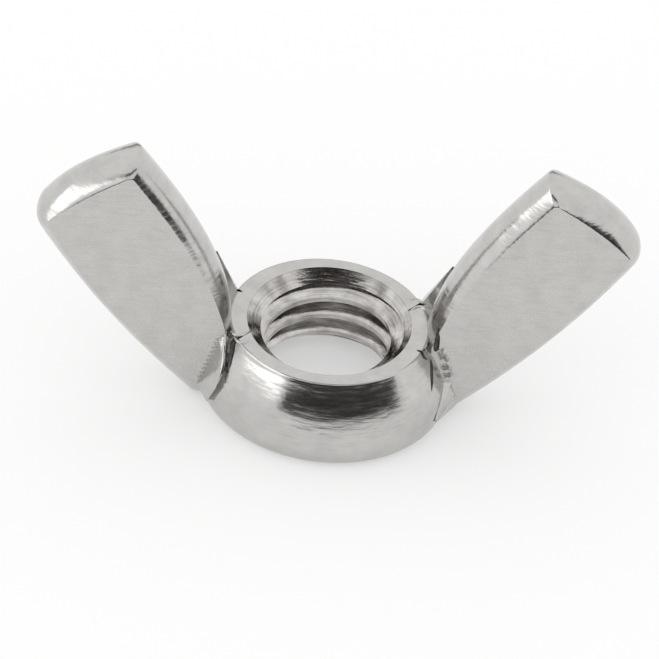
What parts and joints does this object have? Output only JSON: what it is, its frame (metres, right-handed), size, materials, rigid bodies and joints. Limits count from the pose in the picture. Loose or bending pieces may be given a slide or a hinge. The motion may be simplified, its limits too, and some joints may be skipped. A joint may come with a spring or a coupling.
{
  "type": "wing nut",
  "caption": "Cold-forged wing nut with a bulging round hub, a chamfered coarse-threaded through hole and broad flat square-ended wings leaning outward.",
  "frame": {"origin": "on the thread's axis, in the plane of the bearing face under the hub", "axes": "+Z along the thread's axis from the bearing face towards the wing tips, +X along the span of the wings, +Y square to their flat faces"},
  "size_m": [0.0482, 0.0194, 0.0238],
  "materials": {
    "stainless_steel": "tumbled and polished stainless steel, satin on the flat wing faces"
  },
  "bodies": {
    "root": {"wing_nut": "stainless_steel"}
  },
  "joints": []
}
